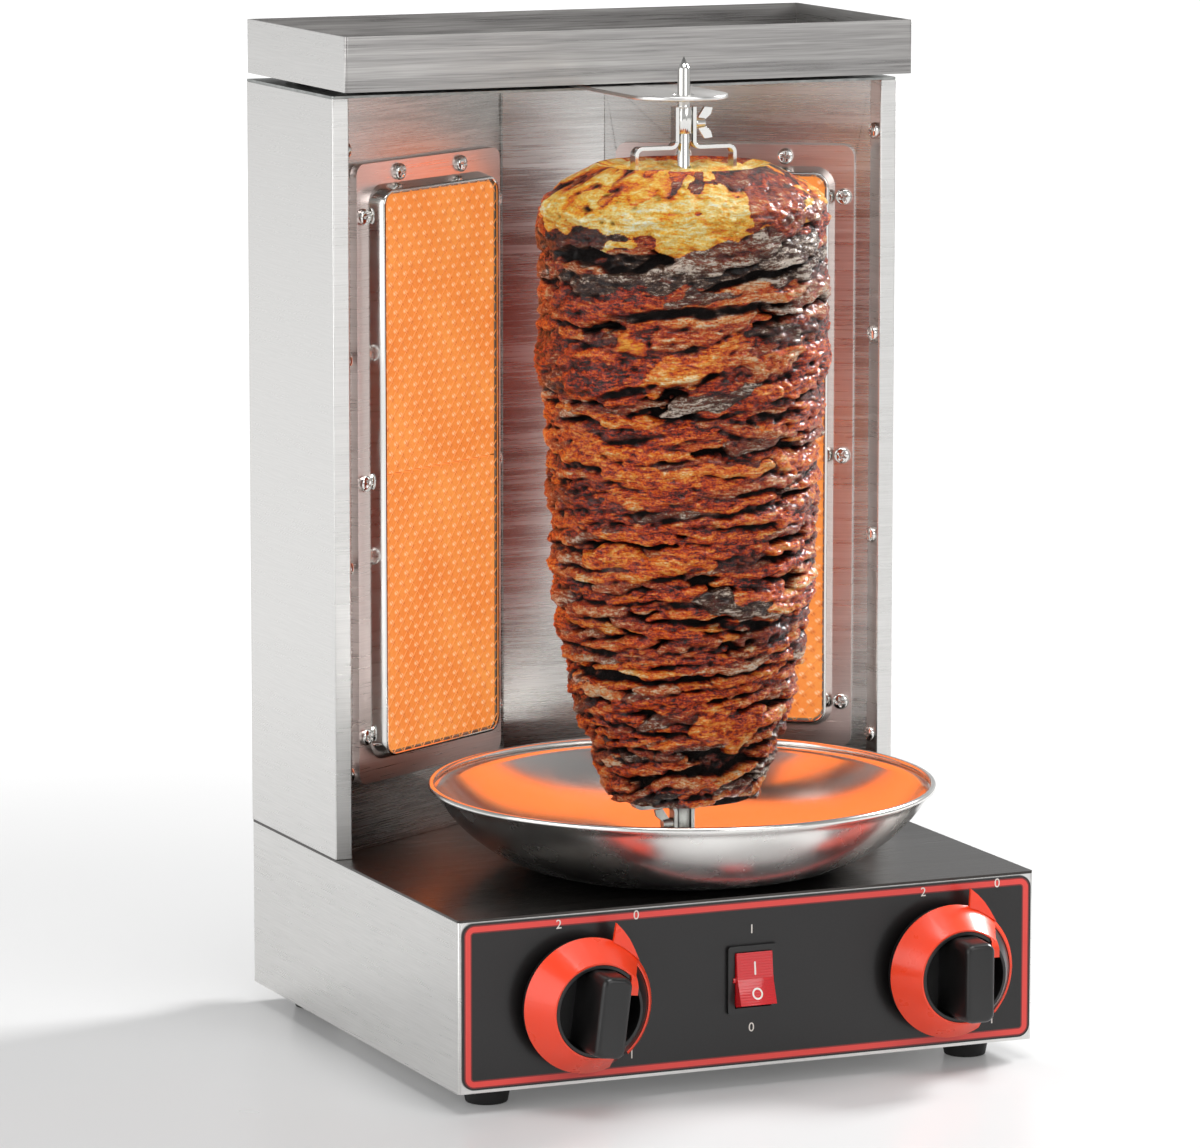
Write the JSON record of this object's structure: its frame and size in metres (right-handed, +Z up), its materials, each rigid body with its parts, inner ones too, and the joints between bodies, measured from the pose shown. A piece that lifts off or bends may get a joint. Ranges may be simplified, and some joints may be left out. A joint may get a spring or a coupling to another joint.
{
  "type": "vertical gas rotisserie grill",
  "caption": "Tabletop gas grill with a turning upright meat spit between two angled infrared burners, a round drip pan, two gas knobs and a rocker switch.",
  "frame": {"origin": "On the table under the middle of the whole footprint, knobs at the front and gas inlet at the back included.", "axes": "X to the right seen from the front, Y to the back, Z up along the spit."},
  "size_m": [0.3, 0.331, 0.4945],
  "materials": {
    "case_steel": "brushed",
    "polished_steel": "polished",
    "zinc_steel": "matte",
    "black_panel": "satin",
    "black_rubber": "matte",
    "black_plastic": "matte",
    "orange_plastic": "gloss",
    "red_plastic": "gloss",
    "ceramic_tile": "matte",
    "brass_part": "satin",
    "roast_meat": "gloss",
    "steel_wire": "matte"
  },
  "bodies": {
    "frame": {"base_screws": "zinc_steel", "base_shell": "case_steel", "bottom_plate": "zinc_steel", "cable_gland": "black_plastic", "cap_screws": "polished_steel", "cap_spacers": "zinc_steel", "centre_panel": "case_steel", "control_panel": "black_panel", "deck_bush": "brass_part", "deck_plate": "case_steel", "feet": "black_rubber", "gas_inlet": "brass_part", "gearmotor": "zinc_steel", "left_burner_bezel": "polished_steel", "left_burner_box": "zinc_steel", "left_burner_ceramics": "ceramic_tile", "left_burner_net": "steel_wire", "left_burner_plate": "case_steel", "left_burner_screws": "polished_steel", "left_gas_pipe": "brass_part", "left_side_panel": "case_steel", "left_valve_body": "brass_part", "left_wing_panel": "case_steel", "manifold_pipe": "brass_part", "motor_mount": "zinc_steel", "rear_panel": "case_steel", "rear_screws": "polished_steel", "right_burner_bezel": "polished_steel", "right_burner_box": "zinc_steel", "right_burner_ceramics": "ceramic_tile", "right_burner_net": "steel_wire", "right_burner_plate": "case_steel", "right_burner_screws": "polished_steel", "right_gas_pipe": "brass_part", "right_side_panel": "case_steel", "right_valve_body": "brass_part", "right_wing_panel": "case_steel", "spit_bracket": "case_steel", "switch_housing": "black_plastic", "top_cap": "case_steel", "top_plate": "zinc_steel", "wall_screws": "polished_steel"},
    "drive": {"motor_shaft": "polished_steel", "drive_socket": "polished_steel"},
    "spit": {"spit_rod": "polished_steel", "meat": "roast_meat"},
    "upper_fork_body": {"upper_fork": "polished_steel"},
    "upper_clamp": {"upper_wing_screw": "polished_steel"},
    "lower_fork_body": {"lower_fork": "polished_steel"},
    "lower_clamp": {"lower_wing_screw": "polished_steel"},
    "pan": {"drip_pan": "polished_steel"},
    "switch_rocker": {"rocker": "red_plastic"},
    "left_plug": {"left_valve_plug": "brass_part"},
    "left_knob_body": {"left_stem": "polished_steel", "left_knob": "black_plastic", "left_dial_ring": "orange_plastic"},
    "right_plug": {"right_valve_plug": "brass_part"},
    "right_knob_body": {"right_stem": "polished_steel", "right_knob": "black_plastic", "right_dial_ring": "orange_plastic"}
  },
  "joints": [
    {"name": "spit_turn", "type": "hinge", "parent": "frame", "child": "drive", "pos_m": [0, -0.0425, 0.093], "axis": [0, 0, 1], "continuous": true},
    {"name": "spit_lift", "type": "slide", "parent": "drive", "child": "spit", "axis": [0, 0, 1], "range_m": [0, 0.0035]},
    {"name": "upper_fork_slide", "type": "slide", "parent": "spit", "child": "upper_fork_body", "axis": [0, 0, 1], "range_m": [-0.0028, 0]},
    {"name": "upper_clamp_turn", "type": "hinge", "parent": "upper_fork_body", "child": "upper_clamp", "pos_m": [0.009, -0.0425, 0.45326], "axis": [1, 0, 0], "range_deg": [0, 360]},
    {"name": "lower_fork_slide", "type": "slide", "parent": "spit", "child": "lower_fork_body", "axis": [0, 0, 1], "range_m": [0, 0.0028]},
    {"name": "lower_clamp_turn", "type": "hinge", "parent": "lower_fork_body", "child": "lower_clamp", "pos_m": [-0.009, -0.0425, 0.114], "axis": [-1, 0, 0], "range_deg": [0, 360]},
    {"name": "pan_lift", "type": "slide", "parent": "frame", "child": "pan", "axis": [0, 0, 1], "range_m": [0, 0.015]},
    {"name": "switch_tilt", "type": "hinge", "parent": "frame", "child": "switch_rocker", "pos_m": [0, -0.1245, 0.053], "axis": [1, 0, 0], "range_deg": [0, 26]},
    {"name": "left_valve_turn", "type": "hinge", "parent": "frame", "child": "left_plug", "pos_m": [-0.0885, -0.14, 0.0495], "axis": [0, -1, 0], "range_deg": [0, 240]},
    {"name": "left_knob_push", "type": "slide", "parent": "left_plug", "child": "left_knob_body", "axis": [0, 1, 0], "range_m": [0, 0.003], "stiffness_N_per_m": 600, "springref_m": -0.004},
    {"name": "right_valve_turn", "type": "hinge", "parent": "frame", "child": "right_plug", "pos_m": [0.1015, -0.14, 0.0495], "axis": [0, -1, 0], "range_deg": [0, 240]},
    {"name": "right_knob_push", "type": "slide", "parent": "right_plug", "child": "right_knob_body", "axis": [0, 1, 0], "range_m": [0, 0.003], "stiffness_N_per_m": 600, "springref_m": -0.004}
  ]
}
